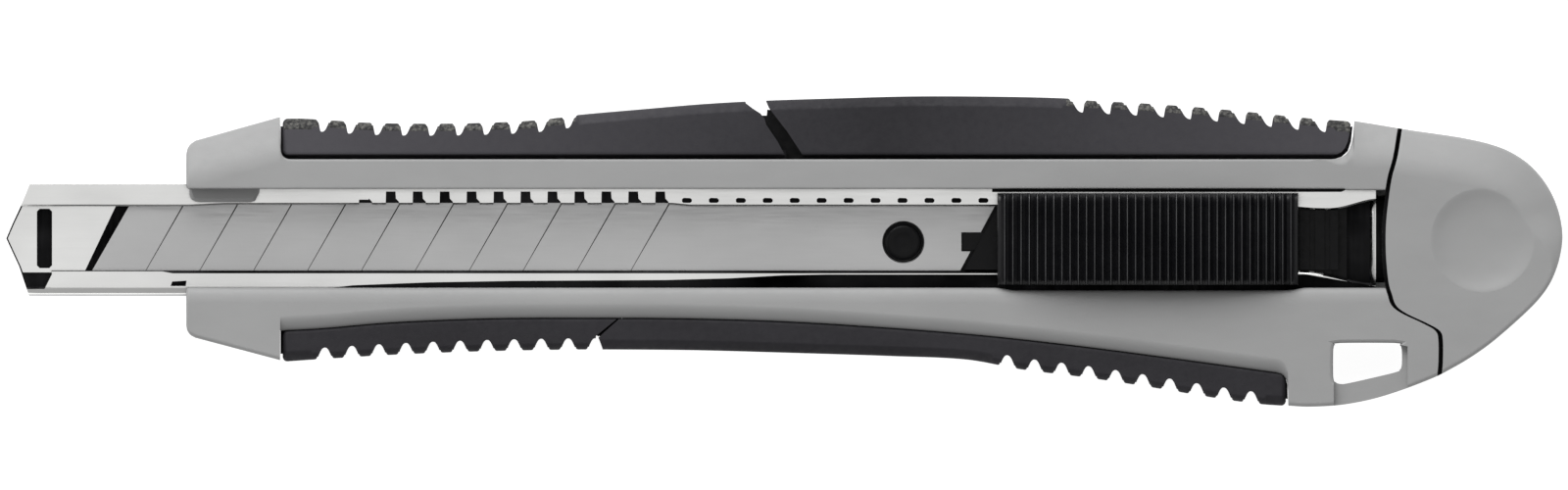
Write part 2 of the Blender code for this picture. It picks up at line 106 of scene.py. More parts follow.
# ---------------------------------------------------------------- mesh helpers
def new_object(name, bm, mat=None):
    """Turn a millimetre bmesh into an object in metres."""
    bmesh.ops.scale(bm, verts=bm.verts, vec=(MM, MM, MM))
    bmesh.ops.recalc_face_normals(bm, faces=bm.faces)
    mesh = bpy.data.meshes.new(name)
    bm.to_mesh(mesh)
    bm.free()
    obj = bpy.data.objects.new(name, mesh)
    bpy.context.scene.collection.objects.link(obj)
    if mat is not None:
        mesh.materials.append(mat)
    return obj


def settle(obj):
    """Replace an object's mesh by what its modifiers make of it."""
    bpy.context.view_layer.update()
    depsgraph = bpy.context.evaluated_depsgraph_get()
    mesh = bpy.data.meshes.new_from_object(obj.evaluated_get(depsgraph))
    old = obj.data
    obj.modifiers.clear()
    obj.data = mesh
    bpy.data.meshes.remove(old)


def cut(obj, tool, operation="DIFFERENCE"):
    mod = obj.modifiers.new("cut", "BOOLEAN")
    mod.operation = operation
    mod.solver = "EXACT"
    mod.object = tool
    settle(obj)
    mesh = tool.data
    bpy.data.objects.remove(tool)
    bpy.data.meshes.remove(mesh)


def soften(obj, width, segments=2, angle=50.0):
    mod = obj.modifiers.new("edges", "BEVEL")
    mod.width = width * MM
    mod.segments = segments
    mod.limit_method = "ANGLE"
    mod.angle_limit = math.radians(angle)
    settle(obj)


def shade(obj, sharp=35.0):
    """Smooth shading that keeps sharp edges sharp and square faces flat."""
    mesh = obj.data
    limit = math.radians(sharp)
    mesh.shade_smooth()
    mesh.set_sharp_from_angle(angle=limit)
    square = {}
    for face in mesh.polygons:
        normal = face.normal
        if max(abs(normal.x), abs(normal.y), abs(normal.z)) > 0.99995:
            for v in face.vertices:
                if v not in square or square[v][0] < face.area:
                    square[v] = (face.area, normal.copy())
    normals = [corner.vector.copy() for corner in mesh.corner_normals]
    for face in mesh.polygons:
        normal = face.normal
        if normal.length < 0.5:
            continue
        flat = max(abs(normal.x), abs(normal.y), abs(normal.z)) > 0.99995
        for i in face.loop_indices:
            found = square.get(mesh.loops[i].vertex_index)
            if flat:
                normals[i] = normal.copy()
            elif found is not None and normal.angle(found[1]) < limit:
                normals[i] = found[1]
    mesh.normals_split_custom_set(normals)


def add_loops(bm, loops):
    rings = [[bm.verts.new(p) for p in loop] for loop in loops]
    count = len(rings[0])
    for low, high in zip(rings, rings[1:]):
        for i in range(count):
            j = (i + 1) % count
            bm.faces.new((low[i], low[j], high[j], high[i]))
    bm.faces.new(list(reversed(rings[0])))
    bm.faces.new(rings[-1])


def add_box(bm, x0, x1, y0, y1, z0, z1):
    low = [(x0, y0, z0), (x1, y0, z0), (x1, y1, z0), (x0, y1, z0)]
    add_loops(bm, [low, [(x, y, z1) for x, y, _ in low]])


def add_prism(bm, points, z0, z1):
    add_loops(bm, [[(x, y, z0) for x, y in points], [(x, y, z1) for x, y in points]])


def box(name, *limits):
    bm = bmesh.new()
    add_box(bm, *limits)
    return new_object(name, bm)


def prism(name, points, z0, z1):
    bm = bmesh.new()
    add_prism(bm, points, z0, z1)
    return new_object(name, bm)


def line(table):
    """Straight interpolation through (x, y) points."""
    def height(x):
        if x <= table[0][0]:
            return table[0][1]
        for (ax, ay), (bx, by) in zip(table, table[1:]):
            if x <= bx:
                return ay + (by - ay) * (x - ax) / (bx - ax)
        return table[-1][1]
    return height


def flow(table):
    """Smooth interpolation through (x, y) points, a cubic with finite difference slopes."""
    count = len(table)
    slopes = []
    for i in range(count):
        a = table[max(0, i - 1)]
        b = table[min(count - 1, i + 1)]
        slopes.append((b[1] - a[1]) / (b[0] - a[0]))

    def height(x):
        if x <= table[0][0]:
            return table[0][1]
        for i in range(count - 1):
            ax, ay = table[i]
            bx, by = table[i + 1]
            if x <= bx:
                h = bx - ax
                t = (x - ax) / h
                return (ay * (2 * t ** 3 - 3 * t ** 2 + 1) + slopes[i] * h * (t ** 3 - 2 * t ** 2 + t)
                        + by * (3 * t ** 2 - 2 * t ** 3) + slopes[i + 1] * h * (t ** 3 - t ** 2))
        return table[-1][1]
    return height


def spline(points, step, closed=False):
    """Points along a Catmull-Rom curve through the given ones."""
    out = []
    count = len(points)
    spans = count if closed else count - 1
    for i in range(spans):
        if closed:
            p0, p1, p2, p3 = (points[(i + k) % count] for k in (-1, 0, 1, 2))
        else:
            p0, p1 = points[max(0, i - 1)], points[i]
            p2, p3 = points[i + 1], points[min(count - 1, i + 2)]
        length = math.dist(p1, p2)
        parts = max(1, int(round(length / step)))
        for k in range(parts):
            t = k / parts
            out.append(tuple(
                0.5 * (2 * b + (c - a) * t + (2 * a - 5 * b + 4 * c - d) * t * t
                       + (3 * b - a - 3 * c + d) * t ** 3)
                for a, b, c, d in zip(p0, p1, p2, p3)))
    if not closed:
        out.append(points[-1])
    return out


def inset(points, amounts):
    out = []
    count = len(points)
    for i in range(count):
        ax, ay = points[i - 1]
        bx, by = points[i]
        cx, cy = points[(i + 1) % count]
        la = math.hypot(bx - ax, by - ay)
        lc = math.hypot(cx - bx, cy - by)
        n1 = (-(by - ay) / la, (bx - ax) / la)
        n2 = (-(cy - by) / lc, (cx - bx) / lc)
        scale = 1.0 / max(0.5, 1.0 + n1[0] * n2[0] + n1[1] * n2[1])
        out.append((bx + (n1[0] + n2[0]) * scale * amounts[i],
                    by + (n1[1] + n2[1]) * scale * amounts[i]))
    return out


def circle(centre, radius, sides=ROUND_SIDES):
    return [(centre[0] + radius * math.cos(math.tau * i / sides),
             centre[1] + radius * math.sin(math.tau * i / sides)) for i in range(sides)]


def span(start, stop, step):
    count = max(1, int(round((stop - start) / step)))
    return [start + (stop - start) * i / count for i in range(count + 1)]


def ease(t):
    t = min(1.0, max(0.0, t))
    return t * t * (3.0 - 2.0 * t)


def place(piece, node, body):
    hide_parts(node)
    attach(piece, body)


# ---------------------------------------------------------------- materials
def material(name, colour, roughness, metallic=0.0, specular=0.5):
    mat = bpy.data.materials.new(name)
    mat.use_nodes = True
    shader = mat.node_tree.nodes["Principled BSDF"]
    shader.inputs["Base Color"].default_value = (*colour, 1.0)
    shader.inputs["Roughness"].default_value = roughness
    shader.inputs["Metallic"].default_value = metallic
    shader.inputs["Specular IOR Level"].default_value = specular
    return mat, mat.node_tree, shader


def noise(tree, scale, stretch=(1.0, 1.0, 1.0), detail=3.0, rough=0.55):
    """Noise in object space; scale is in cells per metre."""
    coords = tree.nodes.new("ShaderNodeTexCoord")
    mapping = tree.nodes.new("ShaderNodeMapping")
    mapping.inputs["Scale"].default_value = stretch
    tree.links.new(coords.outputs["Object"], mapping.inputs["Vector"])
    tex = tree.nodes.new("ShaderNodeTexNoise")
    tex.inputs["Scale"].default_value = scale
    tex.inputs["Detail"].default_value = detail
    tex.inputs["Roughness"].default_value = rough
    tree.links.new(mapping.outputs["Vector"], tex.inputs["Vector"])
    return tex.outputs["Fac"]


def ramp_colour(tree, shader, fac, low, high, start=0.3, stop=0.7):
    ramp = tree.nodes.new("ShaderNodeValToRGB")
    ramp.color_ramp.elements[0].position = start
    ramp.color_ramp.elements[1].position = stop
    ramp.color_ramp.elements[0].color = (*low, 1.0)
    ramp.color_ramp.elements[1].color = (*high, 1.0)
    tree.links.new(fac, ramp.inputs["Fac"])
    tree.links.new(ramp.outputs["Color"], shader.inputs["Base Color"])


def vary_roughness(tree, shader, fac, low, high):
    span_node = tree.nodes.new("ShaderNodeMapRange")
    span_node.inputs["From Min"].default_value = 0.3
    span_node.inputs["From Max"].default_value = 0.7
    span_node.inputs["To Min"].default_value = low
    span_node.inputs["To Max"].default_value = high
    tree.links.new(fac, span_node.inputs["Value"])
    tree.links.new(span_node.outputs["Result"], shader.inputs["Roughness"])


def add_bump(tree, shader, fac, height, strength=0.5, before=None):
    bump = tree.nodes.new("ShaderNodeBump")
    bump.inputs["Strength"].default_value = strength
    bump.inputs["Distance"].default_value = height * MM
    tree.links.new(fac, bump.inputs["Height"])
    if before is not None:
        tree.links.new(before.outputs["Normal"], bump.inputs["Normal"])
    tree.links.new(bump.outputs["Normal"], shader.inputs["Normal"])
    return bump


def grained_plastic(name, low, high, grain, height, rough, specular=0.5):
    """Moulded plastic: faint mottling, a fine spark-eroded grain and uneven gloss."""
    mat, tree, shader = material(name, high, rough[0], 0.0, specular)
    mottle = noise(tree, 90.0, (1.0, 2.2, 2.2), 4.0, 0.6)
    ramp_colour(tree, shader, mottle, low, high)
    vary_roughness(tree, shader, noise(tree, 1600.0, detail=2.0), rough[0], rough[1])
    soft = add_bump(tree, shader, noise(tree, 120.0, (1.0, 3.0, 1.0), 2.0), 0.02, 0.25)
    add_bump(tree, shader, noise(tree, grain, detail=3.0), height, 0.6, soft)
    return mat


def long_rubber(name):
    """Rubber that grows paler from the middle of the knife towards both ends."""
    mat, tree, shader = material(name, (0.03, 0.03, 0.03), 0.7, 0.0, 0.25)
    coords = tree.nodes.new("ShaderNodeTexCoord")
    axes = tree.nodes.new("ShaderNodeSeparateXYZ")
    tree.links.new(coords.outputs["Object"], axes.inputs["Vector"])
    offset = tree.nodes.new("ShaderNodeMath")
    offset.operation = "SUBTRACT"
    offset.inputs[1].default_value = 0.009
    tree.links.new(axes.outputs["X"], offset.inputs[0])
    away = tree.nodes.new("ShaderNodeMath")
    away.operation = "ABSOLUTE"
    tree.links.new(offset.outputs["Value"], away.inputs[0])
    mixed = tree.nodes.new("ShaderNodeMath")
    mixed.operation = "MULTIPLY_ADD"
    mixed.inputs[1].default_value = 17.0
    tree.links.new(away.outputs["Value"], mixed.inputs[0])
    mottle = tree.nodes.new("ShaderNodeMath")
    mottle.operation = "MULTIPLY"
    mottle.inputs[1].default_value = 0.16
    tree.links.new(noise(tree, 110.0, (1.0, 2.2, 2.2), 4.0, 0.6), mottle.inputs[0])
    tree.links.new(mottle.outputs["Value"], mixed.inputs[2])
    ramp_colour(tree, shader, mixed.outputs["Value"], (0.018, 0.0172, 0.0205), (0.066, 0.0635, 0.072),
                0.1, 1.05)
    vary_roughness(tree, shader, noise(tree, 1600.0, detail=2.0), 0.6, 0.78)
    soft = add_bump(tree, shader, noise(tree, 120.0, (1.0, 3.0, 1.0), 2.0), 0.02, 0.25)
    add_bump(tree, shader, noise(tree, 6500.0), 0.03, 0.6, soft)
    return mat


def worn_and_highlit_rubber(name):
    """Rubber with pale specks: partly wear, partly painted highlight."""
    mat, tree, shader = material(name, (0.03, 0.03, 0.03), 0.7, 0.0, 0.3)
    ramp_colour(tree, shader, noise(tree, 2600.0, detail=4.0, rough=0.7), (0.014, 0.014, 0.015),
                (0.13, 0.128, 0.118), 0.44, 0.66)
    vary_roughness(tree, shader, noise(tree, 1400.0), 0.55, 0.8)
    add_bump(tree, shader, noise(tree, 2600.0, detail=4.0, rough=0.7), 0.05, 0.6)
    return mat


def drawn_steel(name, low, high, rough, streak, height, stretch=(0.05, 1.0, 1.0)):
    """Metal with long fine lines along the knife and a slow change of tone."""
    mat, tree, shader = material(name, high, rough[0], 1.0)
    ramp_colour(tree, shader, noise(tree, 160.0, (0.5, 1.0, 1.0), 3.0), low, high)
    lines = noise(tree, streak, stretch, 3.0, 0.6)
    vary_roughness(tree, shader, lines, rough[0], rough[1])
    add_bump(tree, shader, lines, height, 0.5)
    return mat


grey = grained_plastic("body_plastic_look", (0.285, 0.286, 0.286), (0.31, 0.311, 0.311), 5200.0, 0.012,
                       (0.46, 0.58), 0.4)
cap_grey = grained_plastic("cap_plastic_look", (0.285, 0.286, 0.286), (0.31, 0.311, 0.311), 5200.0, 0.010,
                           (0.46, 0.56), 0.4)
rubber = grained_plastic("grip_rubber_look", (0.016, 0.015, 0.018), (0.023, 0.022, 0.026), 6500.0, 0.03,
                         (0.6, 0.78), 0.25)
upper_rubber = long_rubber("upper_grip_rubber_look")
# pale specks for the upper pads' lit bevels: partly wear, partly painted highlight
worn_and_highlit = worn_and_highlit_rubber("grip_rubber_worn_and_painted_highlight")
black = grained_plastic("carrier_plastic_look", (0.0015, 0.0015, 0.002), (0.0035, 0.0035, 0.004), 4200.0,
                        0.008, (0.26, 0.4), 0.15)
button_black = grained_plastic("slide_plastic_look", (0.003, 0.003, 0.004), (0.006, 0.006, 0.007), 4600.0,
                               0.008, (0.3, 0.42), 0.3)
# lighter black for the crests of the slide's ribs: painted highlight
rib_painted_highlight = grained_plastic("slide_rib_painted_highlight", (0.012, 0.012, 0.013), (0.05, 0.05, 0.052), 4600.0,
                               0.008, (0.35, 0.5), 0.4)
# near-black steel painted as shade inside the channel and in the cap's joint
painted_shade_steel = drawn_steel("channel_painted_shade_look", (0.001, 0.001, 0.001), (0.02, 0.02, 0.021),
                    (0.25, 0.45), 2200.0, 0.006, (1.0, 0.08, 1.0))
chrome = drawn_steel("channel_steel_look", (0.72, 0.72, 0.71), (0.82, 0.82, 0.81),
                     (0.13, 0.24), 2600.0, 0.004)
# darker copy of the channel steel for its side walls and undersides: painted shade
shaded_flank_steel = drawn_steel("channel_flank_painted_shade_look", (0.36, 0.36, 0.365), (0.47, 0.47, 0.475),
                    (0.28, 0.42), 2600.0, 0.004)
steel = drawn_steel("blade_steel_look", (0.47, 0.47, 0.47), (0.515, 0.515, 0.515),
                    (0.34, 0.46), 5200.0, 0.004)
# darker steel for the walls of the scores: painted shade in the grooves
score_painted_shade = drawn_steel("blade_score_painted_shade_look", (0.06, 0.058, 0.055), (0.3, 0.295, 0.29),
                     (0.4, 0.6), 900.0, 0.004, (1.0, 1.0, 1.0))
spring_steel = drawn_steel("spring_steel_look", (0.35, 0.36, 0.38), (0.47, 0.48, 0.5),
                           (0.2, 0.32), 3000.0, 0.003)
lock_steel = drawn_steel("lock_steel_look", (0.42, 0.42, 0.42), (0.52, 0.52, 0.52),
                         (0.28, 0.4), 3400.0, 0.004)

# ---------------------------------------------------------------- outline of the knife
LOW_RAIL = [
    (-46.6, -7.35), (-42.8, -7.14), (-36.4, -6.6), (-27.3, -6.23), (-18.2, -6.18), (-9.1, -6.23),
    (0.0, -6.5), (9.05, -7.05), (18.1, -7.77), (27.2, -8.77), (36.3, -9.95), (46.5, -11.35),
]
CAP_JOIN = [
    (60.6, -11.4), (60.7, -10.3), (60.7, -8.3), (60.45, -7.4), (59.3, -6.7), (57.3, -5.75),
    (56.35, -5.0), (55.95, -3.9), (55.65, -2.8), (55.42, -0.3), (55.42, 2.4), (55.7, 5.1),
    (56.0, 6.95), (56.5, 8.8), (56.95, 11.6),
]
low_rail = flow(LOW_RAIL)
front_high = line([(-55.45, 9.2), (-55.36, 9.55), (-55.05, 9.98), (-54.6, 10.28), (-46.75, 12.48)])
front_low = line([(-55.45, -7.1), (-55.36, -7.4), (-55.05, -7.78), (-54.6, -8.02), (-46.75, -10.1)])
rear_high = flow([(52.3, 12.2), (54.5, 11.85), (58.1, 11.25), (61.8, 10.72), (66.0, 9.9)])
rear_low = flow([(46.8, -14.32), (48.6, -14.42), (51.6, -14.25), (54.5, -13.72), (57.2, -12.9),
                 (60.2, -11.75), (61.8, -10.95), (63.6, -9.9)])

# edge shapes as (distance in from the edge, drop below the face)
SLOPE = [(0.0, 1.95), (0.07, 1.66), (0.26, 1.45), (0.8, 1.17), (1.4, 0.87), (2.0, 0.57), (2.6, 0.31),
         (3.2, 0.13), (3.8, 0.03), (4.3, 0.0)]
ROUND = [(0.0, 0.4), (0.01, 0.31), (0.035, 0.23), (0.07, 0.16), (0.12, 0.1), (0.17, 0.06), (0.23, 0.035),
         (0.29, 0.015), (0.35, 0.004), (0.4, 0.0)]
CREASE = [(s * 0.55, d * 0.55) for s, d in ROUND]
FILLET = [(0.0, 0.9), (0.04, 0.74), (0.14, 0.6), (0.3, 0.46), (0.48, 0.33), (0.66, 0.22), (0.84, 0.13),
          (1.02, 0.06), (1.2, 0.015), (1.35, 0.0)]
ROLL = [(0.0, 0.62), (0.06, 0.42), (0.18, 0.27), (0.36, 0.165), (0.62, 0.09), (0.95, 0.035), (1.4, 0.0)]
BACK = [(0.0, 0.9), (0.05, 0.6), (0.18, 0.36), (0.36, 0.18), (0.6, 0.05), (0.9, 0.0)]

# ends of the seats of the pads: upper edge at the front and at the rear, lower edge at the rear
front_corner = line([(-46.74, 12.48), (-46.72, 9.9), (-46.66, 9.25), (-46.52, 8.88), (-46.3, 8.66),
                     (-46.0, 8.57), (-45.7, 8.55)])
rear_corner = line([(50.8, 8.55), (51.3, 8.6), (51.75, 8.74), (52.15, 9.0), (52.45, 9.4), (52.65, 9.95),
                    (52.8, 10.7), (52.88, 11.6), (52.9, 12.4)])
low_corner = line([(45.7, 0.0), (46.1, -0.07), (46.4, -0.25), (46.6, -0.55), (46.7, -0.95),
                   (46.76, -1.6), (46.78, -3.2)])


def between(low, high, t):
    return [(a + (c - a) * t, b + (d - b) * t) for (a, b), (c, d) in zip(low, high)]


def body_section(x, e):
    """Section of the handle across the bed of the channel, shrunk by e near the front face."""
    z0, z1 = e, BODY_TOP - e
    if x < -46.74:
        top, low, top_edge, low_edge = front_high(x), front_low(x), SLOPE, ROUND
    else:
        top, low = front_corner(x), low_rail(x) + low_corner(x)
        top_edge, low_edge = CREASE, FILLET
        if x > 46.78:
            low, low_edge = rear_low(x), ROUND
        if x > 49.0:
            top = min(rear_corner(x), rear_high(x))
            top_edge = between(CREASE, SLOPE, ease((x - 49.6) / 3.2))
    top -= e
    low += e
    rail_low = -3.38 - 0.22 * (ease((x - 19.5) / 2.0) - ease((x - 46.6) / 2.0)) - e
    rail_top = RAIL_TOP_Y - 0.12 * ease((x - 51.8) / 0.5) + e
    half = CHANNEL_WIDTH / 2 + 0.04
    bed = (CHANNEL_MID_Y - half, CHANNEL_MID_Y + half)
    lip = CHANNEL_Z1 + 0.05
    base = CHANNEL_Z0 - 0.05
    room = top - rail_top - 0.3
    squeeze = min(1.0, room / top_edge[-1][0])
    if x > 49.0:
        squeeze = min(squeeze, max(0.25, (top - 8.55) / 3.4))
    points = [(low + s, z0 + d) for s, d in reversed(BACK)]
    points += [(low + s, z1 - d) for s, d in low_edge]
    points += [(rail_low - s, z1 - d) for s, d in reversed(ROLL)]
    points += [(rail_low, lip), (bed[0], lip), (bed[0], base), (bed[1], base), (bed[1], lip)]
    points += [(rail_top, lip), (rail_top, z1 - 0.2), (rail_top + 0.07, z1 - 0.05), (rail_top + 0.22, z1)]
    points += [(top - s * squeeze, z1 - d * squeeze) for s, d in reversed(top_edge)]
    points += [(top - s, z0 + d) for s, d in BACK]
    return [(x, y, z) for y, z in points]


def build_handle():
    stations = [(-55.45, 0.28), (-55.43, 0.17), (-55.38, 0.08), (-55.3, 0.02), (-55.2, 0.0)]
    xs = span(-55.1, -54.5, 0.1) + span(-54.2, -46.75, 0.45)
    xs += [-46.73, -46.7, -46.66, -46.6, -46.52, -46.4, -46.2, -46.0, -45.7] + span(-45.3, 45.5, 0.5)
    xs += [45.7, 45.9, 46.1, 46.25, 46.4, 46.5, 46.6, 46.65, 46.7, 46.73, 46.76, 46.775, 46.79]
    xs += span(46.9, 50.5, 0.4) + span(50.6, 52.9, 0.1) + span(53.1, 62.8, 0.3)
    stations += [(x, 0.0) for x in xs]
    bm = bmesh.new()
    add_loops(bm, [body_section(x, e) for x, e in stations])
    body = new_object("handle_moulding", bm, grey)
    # hollow under the channel, which the tongue of the cap slides into
    cut(body, box("t", -44.0, 65.0, -2.9, 5.2, 1.6, CHANNEL_Z0 + 0.2))

    # joint with the cap: below LAP_Z the handle reaches under it
    for gap, z0, z1 in ((0.0, LAP_Z, 20.0), (LAP, -5.0, LAP_Z)):
        join = [(x + gap, y) for x, y in spline(CAP_JOIN, 0.3)]
        region = join + [(56.95 + gap, 20.0), (80.0, 20.0), (80.0, -20.0), (60.6 + gap, -20.0)]
        region.reverse()
        cut(body, prism("t", region, z0, z1))

    # lanyard hole with a relieved mouth, and the lower bar behind it
    hole = [(50.95, -9.1), (50.95, -11.7), (51.15, -12.12), (51.6, -12.3), (52.6, -12.18),
            (56.6, -11.25), (57.1, -11.0), (57.3, -10.6), (57.3, -9.1), (57.12, -8.68), (56.7, -8.5),
            (51.55, -8.5), (51.12, -8.68)]
    hole = spline(hole, 0.25, True)
    wide = inset(hole, [-0.3] * len(hole))
    slight = inset(hole, [-0.09] * len(hole))
    bm = bmesh.new()
    add_loops(bm, [[(x, y, z) for x, y in ring] for ring, z in (
        (wide, -1.0), (wide, 0.0), (slight, 0.1), (hole, 0.4), (hole, BODY_TOP - 0.4),
        (slight, BODY_TOP - 0.1), (wide, BODY_TOP), (wide, BODY_TOP + 1.0))])
    cut(body, new_object("t", bm))
    bar = [(51.0, -15.2), (57.85, -15.2), (57.85, -8.8), (57.1, -8.7), (57.0, -10.9), (51.5, -12.0),
           (51.0, -11.6)]
    cut(body, prism("t", bar, BODY_TOP - 0.9, BODY_TOP + 2.0))

    # ledge over the front of the upper lip
    ledge = [(-55.15, 5.25), (-55.0, 4.85), (-54.6, 4.62), (-54.2, 4.56), (-49.5, 4.56), (-49.1, 4.66),
             (-48.7, 5.4), (-48.55, 6.4), (-55.15, 6.4)]
    bm = bmesh.new()
    inner = inset(ledge, [0.3, 0.3, 0.3, 0.3, 0.3, 0.3, 0.3, 0.0, 0.0])
    shelf = [[(x, y, CHANNEL_Z1 + 0.06) for x, y in ledge], [(x, y, 10.3) for x, y in ledge],
             [(x, y, 10.75 - 0.2 * (y - 4.56)) for x, y in inner]]
    add_loops(bm, shelf)
    cut(body, new_object("t", bm), "UNION")

    # webs under the grips
    for x0, x1 in ((-45.4, -4.8), (2.6, 50.6)):
        cut(body, box("t", x0, x1, 8.0, 9.9, 4.1, 8.4), "UNION")
    shade(body, 24.0)
    return body


def outline_cap():
    """Outline of the round end, run on past the joint so that both sides share one surface."""
    upper = [(51.0, 12.35), (52.3, 12.2), (54.5, 11.85), (58.1, 11.25), (61.8, 10.72), (63.6, 10.4),
             (65.4, 9.98), (67.2, 9.32), (68.9, 8.25), (70.1, 7.05), (71.0, 5.75), (71.65, 4.35),
             (72.05, 2.9), (72.22, 1.4), (72.08, 0.0), (71.7, -1.5), (71.05, -3.0), (70.1, -4.35),
             (68.9, -5.6), (67.2, -7.15), (65.4, -8.65), (63.6, -9.9), (61.8, -10.95), (60.2, -11.75),
             (57.2, -12.9), (54.5, -13.72), (51.0, -14.3)]
    points = spline(upper, 0.4)
    points.reverse()
    return points


def build_cap():
    outline = outline_cap()
    # the rim has the long slope above and the round edge below; share is the part of the slope in it
    share = []
    for x, y in outline:
        share.append(ease((y + 2.5) / 7.0) if x > 52.0 else (1.0 if y > 0 else 0.0))
    reach = [ease((x - 51.2) / 3.0) for x, _ in outline]
    loops = []
    for s, d in reversed(BACK):
        ring = inset(outline, [s * f for f in reach])
        loops.append([(x, y, d) for x, y in ring])
    for (s1, d1), (s0, d0) in zip(SLOPE, ROUND):
        amounts = [(s1 * w + s0 * (1.0 - w)) * f for w, f in zip(share, reach)]
        drops = [d1 * w + d0 * (1.0 - w) for w in share]
        ring = inset(outline, amounts)
        loops.append([(p[0], p[1], BODY_TOP - drop) for p, drop in zip(ring, drops)])
    bm = bmesh.new()
    add_loops(bm, loops)
    cap = new_object("end_cap_moulding", bm, cap_grey)

    # joint with the handle: a visible gap above the shelf, play below it
    for gap, z0, z1 in ((CAP_GAP, CAP_SHELF_Z, 20.0), (CAP_PLAY, LAP_Z + 0.05, CAP_SHELF_Z),
                        (LAP + CAP_PLAY, -5.0, LAP_Z + 0.05)):
        join = [(x + gap, y) for x, y in spline(CAP_JOIN, 0.3)]
        region = join + [(57.0 + gap, 20.0), (40.0, 20.0), (40.0, -20.0), (60.6 + gap, -20.0)]
        cut(cap, prism("t", region, z0, z1))
    soften(cap, 0.1, 2, 60.0)

    # finger dimple on both faces, as (radius, depth)
    profile = [(5.15, -0.3), (4.95, -0.01), (4.75, 0.02), (4.5, 0.08), (4.15, 0.19), (3.6, 0.31),
               (2.9, 0.42), (2.0, 0.5), (1.0, 0.545), (0.25, 0.56)]
    for level, way in ((BODY_TOP, 1.0), (0.0, -1.0)):
        bm = bmesh.new()
        add_loops(bm, [[(x, y, level - way * sink) for x, y in circle(DIMPLE, r, 72)]
                       for r, sink in profile])
        cut(cap, new_object("t", bm))
    tongue = box("t", 47.4, 57.5, -2.7, 5.0, 1.8, 4.4)
    soften(tongue, 0.3, 3)
    cut(cap, tongue, "UNION")
    # the shelf and the tongue inside the joint get the near-black material: painted shade, so the gap
    # reads dark
    cap.data.materials.append(painted_shade_steel)
    for face in cap.data.polygons:
        x, y, z = (c / MM for c in face.center)
        shelf = abs(z - CAP_SHELF_Z) < 0.2 and face.normal.z > 0.7
        if shelf or (x < 56.3 and -3.0 < y < 5.6 and z < 8.3):
            face.material_index = 1
    shade(cap, 40.0)
    return cap


# ---------------------------------------------------------------- grips
def grip_section(x, side, outer, inner, crest, bevel, z1, e):
    """Section of a rubber pad; side is +1 for the upper pads and -1 for the lower ones."""
    reach = max(0.04, outer - (crest - bevel))
    drop = reach * 0.85
    out = outer - e
    into = inner + e
    low, high = PAD_Z0 + e, z1 - e
    points = [(into + 0.3, low), (into + 0.08, low + 0.08), (into, low + 0.3)]
    points += [(into, high - 0.35), (into + 0.1, high - 0.1), (into + 0.35, high)]
    points += [(out - reach - 0.14, high), (out - reach + 0.08, high - min(0.08, drop * 0.3)),
               (out - 0.2, high - drop + min(0.16, drop * 0.4)), (out - 0.05, high - drop - 0.04),
               (out, high - drop - 0.22)]
    points += [(out, low + 0.22 + drop), (out - 0.05, low + drop + 0.04),
               (out - reach + 0.08, low + min(0.08, drop * 0.3)), (out - reach - 0.14, low)]
    return [(x, side * y, z) for y, z in points]


def knee(t):
    """A ramp from 0 to 1 with a rounded start."""
    t = min(1.0, max(0.0, t))
    return (math.sqrt(t * t + 0.03) - 0.173) / 0.842


def foot(t):
    """Steep at first and running out flat, like the foot of a tooth."""
    return 1.0 - (1.0 - knee(t)) ** 2.3


def teeth(first, pitch, count, depth, top, shape):
    """Depth of the valleys between a row of teeth and the solid rubber at both ends, by x."""
    def valley(x):
        n = math.floor((x - first) / pitch)
        start = first + pitch * n + top / 2
        width = pitch - top
        inside = min(x - start, start + width - x)
        if not -1 <= n < count or inside <= -TOOTH_ROUND:
            return 0.0
        if inside < 0.0:
            return TOOTH_ROUND - math.sqrt(TOOTH_ROUND ** 2 - (TOOTH_ROUND + inside) ** 2)
        return max(TOOTH_ROUND, depth * shape(x - start, start + width - x, width))
    return valley


def hooked_left(a, b, _):
    return min(ease(a / 0.3), foot(b / 0.75))


def hooked_right(a, b, _):
    return min(foot(a / 1.1), ease(b / 0.24))


def arched(a, b, width):
    return knee(1.0 - abs((a - b) / width) ** 2.3)


def build_grip(name, side, x0, x1, inner, crest, valley, fine, z1):
    """A pad from x0 to x1 with its teeth in the range called fine."""
    ends = [(0.0, 0.42), (0.05, 0.26), (0.14, 0.13), (0.28, 0.03), (0.42, 0.0)]
    xs = [(x0 + d, e) for d, e in ends]
    plain = [x for x in span(x0 + 0.6, x1 - 0.6, 0.4) if not fine[0] <= x <= fine[1]]
    xs += [(x, 0.0) for x in sorted(plain + span(fine[0], fine[1], 0.045))]
    xs += [(x1 - d, e) for d, e in reversed(ends)]
    bm = bmesh.new()
    sections = []
    for x, e in xs:
        bevel = TOOTH_BEVEL if fine[0] <= x <= fine[1] else PLAIN_BEVEL
        sections.append(grip_section(x, side, crest(x) - valley(x), inner(x), crest(x), bevel, z1, e))
    add_loops(bm, sections)
    return new_object(name, bm, upper_rubber if side > 0 else rubber)


def wear_and_highlight(pad, x0, x1):
    """Give the bevels that lean towards +Y, where the key light falls, the pale specks: partly wear,
    partly painted highlight.
    """
    pad.data.materials.append(worn_and_highlit)
    # faces leaning towards the key light: partly wear, partly painted highlight
    for face in pad.data.polygons:
        if x0 < face.center.x / MM < x1 and 0.2 < face.normal.z < 0.97 and face.normal.y > 0.2:
            face.material_index = 1


def flange(pad, points, z0=2.0, z1=9.0):
    """Rubber that runs on into the seat of the pad and closes the gap around it."""
    cut(pad, prism("t", points, z0, z1), "UNION")


def rail_strip(x0, x1):
    """Outline of a strip along the lower edge of the rail."""
    xs = span(x0, x1, 1.5)
    return [(x, low_rail(x) - 0.5) for x in xs] + [(x, low_rail(x) + 0.2) for x in reversed(xs)]


